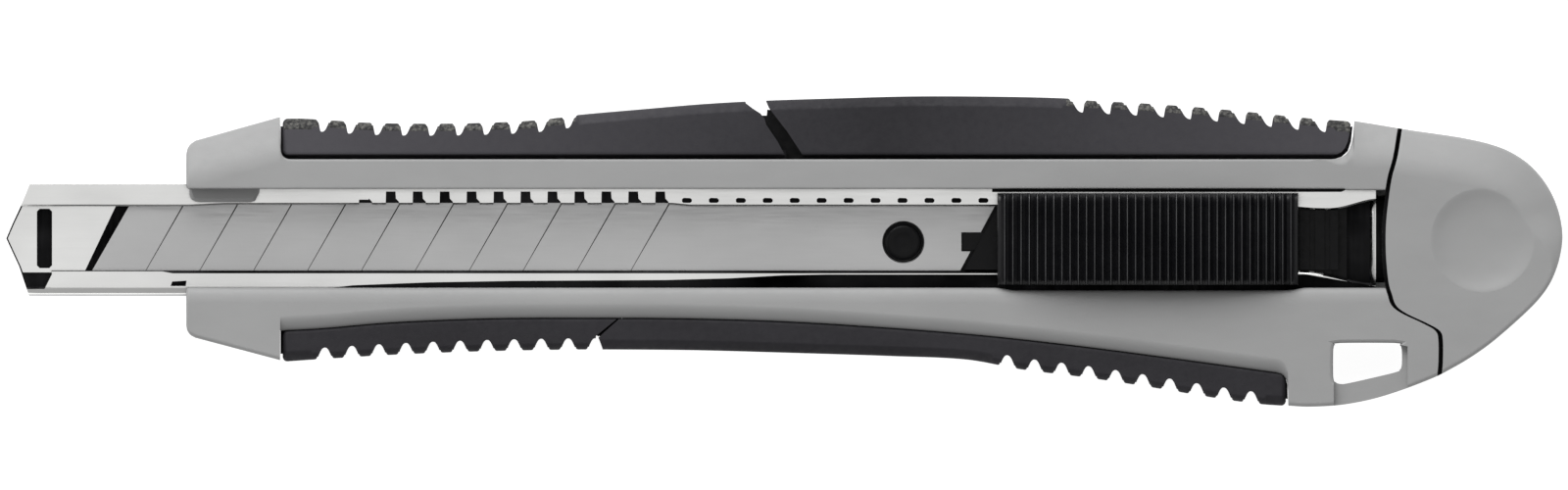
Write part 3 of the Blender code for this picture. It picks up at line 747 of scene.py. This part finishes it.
def build_grips():
    upper = flow([(-46.6, 12.3), (-44.8, 12.32), (-41.4, 12.12), (-38.9, 11.95), (-33.9, 11.85),
                  (-28.9, 11.9), (-23.9, 12.1), (-21.3, 12.35), (-19.5, 12.62), (-13.0, 13.2),
                  (-7.3, 13.68), (-1.8, 13.98), (5.0, 14.2), (12.0, 14.38), (20.0, 14.35), (26.0, 14.2),
                  (28.2, 14.0), (33.0, 13.75), (38.0, 13.4), (43.0, 12.95), (48.2, 12.4), (52.6, 12.05)])

    def seat(_):
        return PAD_SEAT

    def rail(x):
        return 0.04 - low_rail(x)

    front_teeth = teeth(-41.42, 2.53, 9, 1.15, 1.38, hooked_left)
    pad = build_grip("top_front_pad", 1, PAD_X0, 1.2, seat, upper, front_teeth, (-43.6, -19.2),
                     UPPER_PAD_Z1)
    edge = [(-3.7, 15.0), (-3.55, 13.75), (-2.9, 13.25), (-2.2, 12.8), (-1.8, 12.3), (-1.65, 11.75),
            (-0.6, 10.2), (0.2, 8.7), (0.3, 8.0), (4.0, 8.0), (4.0, 15.0)]
    cut(pad, prism("t", edge, -2.0, 15.0))
    corner = [(-47.0, 8.0), (-46.0, 8.0), (-46.0, 8.93), (-46.25, 8.98), (-46.42, 9.12), (-46.5, 9.35),
              (-47.0, 9.4)]
    cut(pad, prism("t", corner, 9.0, 15.0))
    tongue = [(-4.4, 8.45), (2.8, 8.45), (2.8, 9.6), (0.6, 12.5), (-0.7, 13.1), (-1.56, 13.15),
              (-1.6, 12.6), (-3.2, 12.6), (-4.4, 11.0)]
    flange(pad, tongue, 2.6, 5.2)
    flange(pad, [(-46.7, 8.5), (0.2, 8.5), (0.2, 9.4), (-45.9, 9.4), (-45.9, 11.6), (-46.7, 11.6)])
    wear_and_highlight(pad, PAD_X0, -19.4)
    # the floor of the mitre gap under the tongue gets the slide's black: painted shade
    pad.data.materials.append(button_black)
    for face in pad.data.polygons:
        x, _, z = (c / MM for c in face.center)
        if -3.4 < x < 3.0 and 2.5 < z < 5.3 and face.normal.z > 0.5:
            face.material_index = 2
    shade(pad, 40.0)
    place(pad, "top_front_grip", "handle")

    rear_teeth = teeth(28.5, 2.5, 9, 1.2, 1.12, hooked_right)
    pad = build_grip("top_rear_pad", 1, -2.4, 52.62, seat, upper, rear_teeth, (26.0, 51.0), UPPER_PAD_Z1)
    edge = [(-5.0, 15.0), (-1.78, 15.0), (-1.7, 14.0), (-1.4, 13.3), (0.3, 11.1), (1.95, 8.6),
            (2.0, 8.0), (-5.0, 8.0)]
    edge.reverse()
    cut(pad, prism("t", edge, -2.0, 15.0))
    edge = [(52.0, 8.0), (54.0, 8.0), (54.0, 15.0), (52.62, 15.0), (52.6, 12.0), (52.48, 11.0),
            (52.3, 10.2), (52.05, 9.6), (51.7, 9.2), (51.3, 9.0), (50.9, 8.93), (50.9, 8.0)]
    cut(pad, prism("t", edge, -2.0, 15.0))
    flange(pad, [(2.0, 8.5), (50.9, 8.5), (51.7, 8.75), (52.3, 9.3), (52.6, 10.2), (52.75, 11.6),
                 (51.0, 11.3), (49.5, 9.4), (2.0, 9.4)])
    wear_and_highlight(pad, 26.2, 52.7)
    shade(pad, 40.0)
    place(pad, "top_rear_grip", "handle")

    lower = flow([(-46.6, 10.25), (-44.5, 10.1), (-41.4, 9.9), (-36.3, 9.6), (-28.8, 9.3), (-20.0, 9.12),
                  (-14.0, 9.12), (-8.0, 9.18), (0.0, 9.4), (10.0, 9.72), (17.0, 10.05), (22.0, 10.95),
                  (28.0, 11.7), (34.0, 12.6), (40.0, 13.6), (44.0, 14.15), (46.7, 14.35)])
    front_teeth = teeth(-41.35, 2.51, 10, 1.08, 1.12, arched)
    pad = build_grip("bottom_front_pad", -1, PAD_X0, -14.6, rail, lower, front_teeth, (-43.7, -16.8),
                     LOWER_PAD_Z1)
    edge = [(-13.0, -5.0), (-15.2, -5.0), (-15.3, -6.1), (-17.45, -7.85), (-17.5, -9.6), (-13.0, -9.6)]
    cut(pad, prism("t", edge, -2.0, 15.0))
    flange(pad, [(-17.5, -7.75), (-17.2, -7.9), (-16.9, -7.8), (-14.8, -6.0), (-15.6, -5.8),
                 (-18.2, -5.9), (-18.2, -7.6)])
    flange(pad, rail_strip(-46.0, -15.8))
    flange(pad, [(-46.7, -9.5), (-45.9, -9.5), (-45.9, -7.6), (-44.0, -7.5), (-44.0, -7.0),
                 (-46.7, -7.2)])
    shade(pad, 40.0)
    place(pad, "bottom_front_grip", "handle")

    rear_teeth = teeth(22.0, 2.51, 9, 1.12, 1.08, arched)
    pad = build_grip("bottom_rear_pad", -1, -17.6, 46.55, rail, lower, rear_teeth, (19.4, 44.6),
                     LOWER_PAD_Z1)
    edge = [(-20.0, -5.0), (-20.0, -15.0), (-16.75, -15.0), (-16.85, -9.0), (-17.1, -8.3),
            (-17.22, -8.0), (-15.0, -6.0), (-14.8, -5.0)]
    cut(pad, prism("t", edge, -2.0, 15.0))
    corner = [(45.6, -10.0), (45.6, -11.25), (46.0, -11.36), (46.3, -11.6), (46.48, -12.0),
              (46.55, -12.6), (47.5, -12.6), (47.5, -10.0)]
    cut(pad, prism("t", corner, -2.0, 15.0))
    flange(pad, rail_strip(-15.0, 45.6))
    flange(pad, [(44.0, -11.05), (45.7, -11.2), (46.2, -11.35), (46.55, -11.75), (46.7, -12.4),
                 (46.73, -13.7), (45.5, -13.5), (44.0, -12.0)])
    shade(pad, 40.0)
    place(pad, "bottom_rear_grip", "handle")


# ---------------------------------------------------------------- steel channel
def arc(cy, cz, radius, start, end, steps=8):
    return [(cy + radius * math.cos(math.radians(start + (end - start) * i / steps)),
             cz + radius * math.sin(math.radians(start + (end - start) * i / steps)))
            for i in range(steps + 1)]


def channel_section(lip_top, lip_low, chamfer):
    left = CHANNEL_MID_Y - CHANNEL_WIDTH / 2
    right = CHANNEL_MID_Y + CHANNEL_WIDTH / 2
    big, small = 0.9, 0.9 - SHEET
    low, high = CHANNEL_Z0 + big, CHANNEL_Z1 - big
    crisp, fold = 0.2, 0.05
    tip = SHEET * 0.3
    points = arc(left + big, low, big, 180, 270) + arc(right - big, low, big, 270, 360)
    points += arc(right - crisp, CHANNEL_Z1 - crisp, crisp, 0, 90)
    points += [(lip_top + tip, CHANNEL_Z1), (lip_top, CHANNEL_Z1 - tip),
               (lip_top, CHANNEL_Z1 - SHEET + tip), (lip_top + tip, CHANNEL_Z1 - SHEET)]
    points += arc(right - SHEET - fold, CHANNEL_Z1 - SHEET - fold, fold, 90, 0)
    points += arc(right - big, low, small, 360, 270)
    points += arc(left + big, low, small, 270, 180) + arc(left + big, high, small, 180, 90)
    points += [(lip_low - tip, CHANNEL_Z1 - SHEET), (lip_low, CHANNEL_Z1 - SHEET + tip),
               (lip_low, CHANNEL_Z1 - max(0.06, chamfer * 0.6)), (lip_low - chamfer, CHANNEL_Z1)]
    points += arc(left + big, high, big, 90, 180)
    return points


def rear_lip(x):
    """Inner edge of the lower lip, which runs outwards at the rear."""
    return -1.78 - 1.17 * ease((x - 48.0) / 7.2)


def build_channel():
    bm = bmesh.new()
    loops = []
    # the lips: the upper one is cut back under the ledge and at the rear, the lower one at the rear
    for x in span(-72.3, -57.7, 1.6) + span(-56.7, 44.0, 1.6) + span(44.5, CHANNEL_REAR, 0.6):
        upper = 4.2 + 0.16 * (ease((x + 55.0) / 3.0) - ease((x + 10.5) / 1.5))
        upper += 0.9 * ease((x - 50.6) / 4.6) - 0.34 * ease((x - 45.0) / 5.0)
        lower = rear_lip(x)
        chamfer = 0.08 + (CHANNEL_RIM - 0.08) * ease((x + 57.6) / 0.8)
        loops.append([(x, y, z) for y, z in channel_section(upper, lower, chamfer)])
    add_loops(bm, loops)
    channel = new_object("steel_channel", bm, chrome)
    # pointed nose, with the lower lip cut away behind it
    nose = [(-69.9, 7.0), (-69.95, 6.3), (-70.35, 5.3), (-70.85, 4.1), (-71.55, 2.6), (-72.15, 1.2),
            (-71.6, 0.0), (-70.95, -1.4), (-70.35, -3.2), (-70.0, -4.2), (-69.9, -5.0), (-75.0, -5.0),
            (-75.0, 7.0)]
    cut(channel, prism("t", nose, 3.0, 10.0))
    cut(channel, prism("t", [(-68.1, -1.0), (-75.0, -1.0), (-75.0, -3.5), (-68.6, -3.5), (-67.9, -2.1)],
                       7.6, 10.5))
    # raised bridge that the blade runs over, hollow below, with its slot
    floor = CHANNEL_Z0 + SHEET
    top = BLADE_Z0 - 0.1
    plate = [(-70.7, 4.05), (-71.4, 2.6), (-72.0, 1.2), (-71.45, 0.0), (-70.8, -1.4), (-70.6, -1.95),
             (-67.9, -1.95), (-67.75, -3.75), (-65.77, -3.75), (-61.13, 6.0), (-69.9, 6.0)]
    cut(channel, prism("t", plate, floor - 0.2, top), "UNION")
    cut(channel, box("t", -70.2, -57.0, -3.2, 5.45, floor, top - SHEET))
    slot = [(-69.3, -1.3), (-69.05, -1.55), (-68.15, -1.55), (-67.9, -1.3), (-67.9, 3.7), (-68.15, 3.95),
            (-69.05, 3.95), (-69.3, 3.7)]
    cut(channel, prism("t", slot, top - 0.8, top + 0.3))

    # lock notches: open ones at the front, small closed ones at the rear
    bm = bmesh.new()
    for n in range(NOTCHES):
        mid = FIRST_NOTCH + NOTCH_PITCH * n
        if mid > CHANNEL_REAR - 6.0:
            continue
        if mid > -10.0:
            add_prism(bm, [(mid - 0.34, 4.5), (mid + 0.3, 4.5), (mid + 0.44, 4.6), (mid + 0.46, 4.8),
                           (mid + 0.3, 4.94), (mid - 0.3, 4.96), (mid - 0.46, 4.84), (mid - 0.46, 4.6)],
                      7.8, 9.0)
            continue
        depth = 5.55 if mid > -37.5 else 4.8
        add_prism(bm, [(mid - 0.46, 3.9), (mid + 0.8, 3.9), (mid + 0.78, 4.6), (mid + 0.5, 4.9),
                       (mid + 0.46, depth), (mid - 0.42, depth)], 7.8, 9.0)
    add_prism(bm, [(-56.9, -3.22), (-55.5, -3.22), (-55.42, -2.72), (-56.75, -2.8)], 7.8, 9.0)
    cut(channel, new_object("t", bm))
    # shallow steps along both rails
    wedge = [(x, rear_lip(x) - 0.34) for x in span(55.2, 48.4, 0.6)]
    wedge += [(40.0, -2.15), (4.0, -2.15), (0.0, -2.22), (-5.0, -2.5), (-11.0, -2.66), (-25.0, -2.74)]
    wedge += [(-33.0, -2.88), (-40.0, -3.15), (-43.0, -3.5), (-43.0, -3.7), (55.2, -3.7)]
    cut(channel, prism("t", wedge, CHANNEL_Z1 - 0.3, 9.5))
    cut(channel, prism("t", [(19.3, 5.5), (51.7, 5.52), (52.1, 5.7), (52.1, 6.1), (19.3, 6.1)],
                       CHANNEL_Z1 - 0.3, 9.5))
    # strips under the lips, near-black as painted shade seen through the notches, and the stop across the
    # rear end
    for x0, x1, y0, y1 in ((-47.5, CHANNEL_REAR - 2.0, 4.5, 6.0), (-57.4, -55.0, -3.6, -2.6)):
        cut(channel, box("t", x0, x1, y0, y1, 7.87, 8.12), "UNION")
    lip = [(54.35, CHANNEL_Z0 + 0.3), (CHANNEL_REAR, CHANNEL_Z0 + 0.3), (CHANNEL_REAR, 7.2),
           (54.65, 7.15), (54.35, 6.95)]
    bm = bmesh.new()
    add_loops(bm, [[(x, y, z) for x, z in lip] for y in (-3.3, 5.6)])
    cut(channel, new_object("t", bm), "UNION")
    soften(channel, 0.07, 2, 55.0)
    paint_channel_shade(channel)
    shade(channel, 30.0)
    return channel


def paint_channel_shade(channel):
    """Paint shade on the channel: the faces that look into it, the grooves along its lips, the strips
    under the lips and the inner edge of the lower lip get near-black painted shade, and the side walls
    and undersides a darker copy of the steel as painted shade.
    """
    mesh = channel.data
    mesh.materials.append(painted_shade_steel)
    mesh.materials.append(shaded_flank_steel)
    for face in mesh.polygons:
        x, y, z = (c / MM for c in face.center)
        normal = face.normal
        # side walls and undersides get the darker copy of the steel: painted shade
        if abs(y - CHANNEL_MID_Y) > CHANNEL_WIDTH / 2 - 0.3 and abs(normal.y) > 0.8 or normal.z < -0.5:
            face.material_index = 2
        # inside faces, the grooves along the lips, the strips under the lips and the lower lip's inner
        # edge get the near-black steel: painted shade
        inside = abs(y - CHANNEL_MID_Y) < 4.9
        mouth = normal.x < -0.3 and x < -69.5
        under_plate = x < -57.0 and CHANNEL_Z0 + 0.2 < z < BLADE_Z0 - 0.15 and not mouth
        floor_face = z < CHANNEL_Z0 + SHEET + 0.05 and normal.z > 0.5
        side_face = CHANNEL_Z0 + 0.3 < z < CHANNEL_Z1 - SHEET - 0.02 and abs(normal.y) > 0.4
        shade_strip = 7.8 < z < 8.13 and ((4.4 < y < 6.0 and x > -50.0) or (y < -2.5 and -58.0 < x < -54.5))
        groove = (y < -2.1 or y > 5.48) and CHANNEL_Z1 - 0.35 < z < CHANNEL_Z1 - 0.02 and x > -43.5
        lip_edge = -2.1 < y < -1.72 and z > 8.0 and normal.y > 0.2 and -70.5 < x < 47.0
        if groove or (inside and (under_plate or floor_face or side_face or shade_strip or lip_edge)):
            face.material_index = 1


# ---------------------------------------------------------------- blade
def build_blade():
    y0 = CHANNEL_MID_Y - BLADE_WIDTH / 2
    y1 = CHANNEL_MID_Y + BLADE_WIDTH / 2
    z0, z1 = BLADE_Z0, BLADE_Z0 + BLADE_THICK
    mid = (z0 + z1) / 2
    grind = y0 + 1.3
    section = [(y0, mid - 0.02), (grind, z0), (y1 - 0.05, z0), (y1, z0 + 0.05), (y1, z1 - 0.05),
               (y1 - 0.05, z1), (grind, z1), (y0, mid + 0.02)]

    def front(y):
        return -62.3 + SLANT * (y - SLANT_Y)

    def tail(y):
        return 18.1 + 0.537 * (y - SLANT_Y)

    bm = bmesh.new()
    add_loops(bm, [[(front(y), y, z) for y, z in section], [(tail(y), y, z) for y, z in section]])
    blade = new_object("scored_blade", bm, steel)
    # V-shaped scores that widen towards the back of the blade
    bm = bmesh.new()
    for n in range(SCORES):
        x = FIRST_SCORE + SCORE_PITCH * n
        rows = []
        for y, half in ((y0 - 0.5, 0.03), (y1 + 0.5, 0.085)):
            c = x + SLANT * (y - SLANT_Y)
            deep = z1 - 0.02 - half * 0.6
            rows.append([(c - half, y, z1 + 0.01), (c, y, deep), (c + half, y, z1 + 0.01)])
        add_loops(bm, rows)
    cut(blade, new_object("t", bm))
    # the walls of the scores get the darker steel: painted shade
    blade.data.materials.append(score_painted_shade)
    for face in blade.data.polygons:
        if 0.1 < face.normal.z < 0.98 and abs(face.normal.x) > 0.15 and face.center.y / MM > grind:
            face.material_index = 1
    # hole for the peg, and the notch in the tail for the carrier's key
    ring = circle(PEG, BLADE_HOLE)
    wide = circle(PEG, BLADE_HOLE * 1.06)
    bm = bmesh.new()
    add_loops(bm, [[(x, y, z0 - 0.5) for x, y in ring], [(x, y, z1 - 0.1) for x, y in ring],
                   [(x, y, z1 + 0.01) for x, y in wide], [(x, y, z1 + 0.5) for x, y in wide]])
    cut(blade, new_object("t", bm))
    cut(blade, box("t", 16.45, 22.0, 0.0, 1.77, z0 - 0.5, z1 + 0.5))
    shade(blade, 20.0)
    return blade


# ---------------------------------------------------------------- carrier, lock and slide
def build_carrier():
    low = CHANNEL_Z0 + SHEET + 0.1
    deck = BLADE_Z0 - 0.1
    outline = [(6.0, -2.7), (6.6, -3.3), (51.6, -3.3), (52.2, -2.7), (52.2, 4.9), (51.6, 5.5),
               (6.6, 5.5), (6.0, 4.9)]
    carrier = prism("blade_carrier_moulding", outline, low, deck)
    carrier.data.materials.append(black)
    # blocks behind the blade and at the rear, the key, the rear deck, and the well of the lock
    for block in ([(16.75, -1.7), (24.3, -1.7), (24.3, 4.0), (19.8, 4.0)],
                  [(44.2, -1.7), (51.4, -1.7), (51.4, 3.82), (44.2, 3.82)]):
        cut(carrier, prism("t", block, deck - 0.5, 8.7), "UNION")
    cut(carrier, box("t", 16.6, 19.6, 0.12, 1.65, deck - 0.8, 8.1), "UNION")
    cut(carrier, box("t", 44.6, 50.8, -3.1, 5.3, deck - 0.3, CHANNEL_Z1 - SHEET - 0.28), "UNION")
    cut(carrier, box("t", 24.9, 43.7, -2.2, 5.2, low + 0.8, 9.5))
    # moulded grooves across the rear block
    bm = bmesh.new()
    for x in (46.2, 47.6, 49.0, 50.4):
        add_box(bm, x - 0.25, x + 0.25, -2.2, 4.5, 8.35, 9.5)
    cut(carrier, new_object("t", bm))
    soften(carrier, 0.12, 3, 40.0)
    # peg through the hole of the blade, as (radius, level)
    profile = [(1.75, deck - 0.6), (1.75, 7.75), (1.7, 7.92), (1.56, 8.04), (1.3, 8.1), (0.8, 8.02),
               (0.3, 7.98)]
    bm = bmesh.new()
    add_loops(bm, [[(x, y, z) for x, y in circle(PEG, r)] for r, z in profile])
    cut(carrier, new_object("t", bm), "UNION")
    shade(carrier, 35.0)
    return carrier


def build_lock_plate():
    top = PLATE_Z0 + PLATE_THICK
    plate = box("lock_plate_steel", 25.2, 43.4, -1.6, 4.95, PLATE_Z0, top)
    plate.data.materials.append(lock_steel)
    for n in range(FIRST_TOOTH, FIRST_TOOTH + 3):
        mid = FIRST_NOTCH + NOTCH_PITCH * n
        cut(plate, box("t", mid - 0.34, mid + 0.34, 4.4, 4.8, top - 0.2, top + 0.06), "UNION")
    soften(plate, 0.08, 2, 40.0)
    shade(plate, 35.0)
    return plate


def build_spring():
    base = SPRING_Z0
    crown = PLATE_Z0 - 0.05
    upper, lower = [], []
    for i in range(65):
        u = i / 64
        rise = (crown - 0.2 - base) * 0.5 * (1.0 - math.cos(math.tau * u))
        lower.append((27.3 + 13.6 * u, base + rise))
        upper.append((27.3 + 13.6 * u, base + 0.2 + rise))
    ring = lower + list(reversed(upper))
    bm = bmesh.new()
    add_loops(bm, [[(x, -0.3, z) for x, z in ring], [(x, 2.7, z) for x, z in ring]])
    spring = new_object("leaf_spring", bm, spring_steel)
    soften(spring, 0.04, 2, 60.0)
    shade(spring, 35.0)
    return spring


def build_slide():
    x0, x1, y0, y1 = 19.8, 47.7, -3.1, 5.4
    base, top = 9.5, 15.6
    ribs = 36
    pitch = (x1 - x0 - 0.6) / ribs
    middle, half = (x0 + x1) / 2, (x1 - x0) / 2

    def crown(x):
        return top - 2.2 * (abs(x - middle) / half) ** 2.4

    # one rib, as (place along its pitch, depth)
    shape = [(0.0, 1.0), (0.3, 0.75), (0.4, 0.2), (0.43, 0.04), (0.46, 0.0), (0.54, 0.0), (0.57, 0.04),
             (0.6, 0.2), (0.7, 0.75), (0.98, 0.98)]
    tops = [(x0, crown(x0) - 0.9), (x0 + 0.06, crown(x0) - 0.55)]
    for n in range(ribs):
        left = x0 + 0.3 + pitch * n
        tops += [(left + pitch * u, crown(left + pitch * u) - 0.65 * d) for u, d in shape]
    tops += [(x1 - 0.06, crown(x1) - 0.55), (x1, crown(x1) - 0.9)]
    # rounding of both sides, as (y, drop)
    levels = [(y0, 0.75), (y0 + 0.06, 0.45), (y0 + 0.22, 0.2), (y0 + 0.5, 0.05), (y0 + 0.85, 0.0),
              (y1 - 0.85, 0.0), (y1 - 0.5, 0.05), (y1 - 0.22, 0.2), (y1 - 0.06, 0.45), (y1, 0.75)]
    loops = []
    for y, drop in levels:
        ring = [(x0 + 0.15, y, base), (x0, y, base + 0.15)]
        ring += [(x, y, z - drop) for x, z in tops]
        ring += [(x1, y, base + 0.15), (x1 - 0.15, y, base)]
        loops.append(ring)
    bm = bmesh.new()
    add_loops(bm, loops)
    slide = new_object("ribbed_slide", bm, button_black)
    cut(slide, box("t", 25.6, 43.0, -1.5, 3.8, PLATE_Z0 + PLATE_THICK + 0.05, base + 0.6), "UNION")
    # the crests of the ribs get the lighter black: painted highlight
    slide.data.materials.append(rib_painted_highlight)
    for face in slide.data.polygons:
        along = ((face.center.x / MM - x0 - 0.3) / pitch) % 1.0
        if face.normal.z > 0.5 and face.center.z / MM > 12.0 and 0.425 < along < 0.575:
            face.material_index = 1
    shade(slide, 35.0)
    return slide


# ---------------------------------------------------------------- floor, light, camera
def build_stage():
    mat, tree, shader = material("floor_look", (0.9, 0.9, 0.9), 0.85, 0.0, 0.2)
    ramp_colour(tree, shader, noise(tree, 30.0), (0.35, 0.35, 0.35), (0.36, 0.36, 0.36))
    shader.inputs["Emission Color"].default_value = (1.0, 1.0, 1.0, 1.0)
    shader.inputs["Emission Strength"].default_value = 0.93
    bm = bmesh.new()
    bmesh.ops.create_grid(bm, x_segments=8, y_segments=8, size=1500.0)
    floor = new_object("floor", bm, mat)
    floor.location.z = -0.00005

    world = bpy.data.worlds.new("studio")
    bpy.context.scene.world = world
    world.use_nodes = True
    world.node_tree.nodes["Background"].inputs["Color"].default_value = (1.0, 1.0, 1.0, 1.0)
    world.node_tree.nodes["Background"].inputs["Strength"].default_value = 0.45

    for name, place_at, size, power in (
            ("key", (-0.12, 0.60, 0.50), 0.7, 6.2),
            ("left", (-0.7, 0.1, 0.4), 0.6, 0.8),
            ("top", (0.0, 0.0, 1.1), 0.7, 0.52)):
        lamp = bpy.data.lights.new(name, "AREA")
        lamp.shape = "DISK"
        lamp.size = size
        lamp.energy = power
        obj = bpy.data.objects.new(name, lamp)
        obj.location = place_at
        aim = -obj.location
        obj.rotation_mode = "QUATERNION"
        obj.rotation_quaternion = aim.to_track_quat("-Z", "Y")
        bpy.context.scene.collection.objects.link(obj)

    camera = bpy.data.cameras.new("camera")
    camera.type = "ORTHO"
    camera.ortho_scale = VIEW_WIDTH * MM
    camera.clip_start, camera.clip_end = 0.01, 5.0
    eye = bpy.data.objects.new("camera", camera)
    eye.location = CAMERA_AT
    bpy.context.scene.collection.objects.link(eye)
    bpy.context.scene.camera = eye
    bpy.context.scene.view_settings.view_transform = "Standard"


place(build_handle(), "handle_body", "handle")
build_grips()
place(build_channel(), "blade_channel", "handle")
place(build_cap(), "end_cap", "cap")
place(build_blade(), "blade", "carriage")
place(build_carrier(), "blade_carrier", "carriage")
spring = build_spring()
place(spring, "lock_spring", "carriage")
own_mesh(spring)
place(build_lock_plate(), "lock_plate", "button")
place(build_slide(), "thumb_slide", "button")
build_stage()
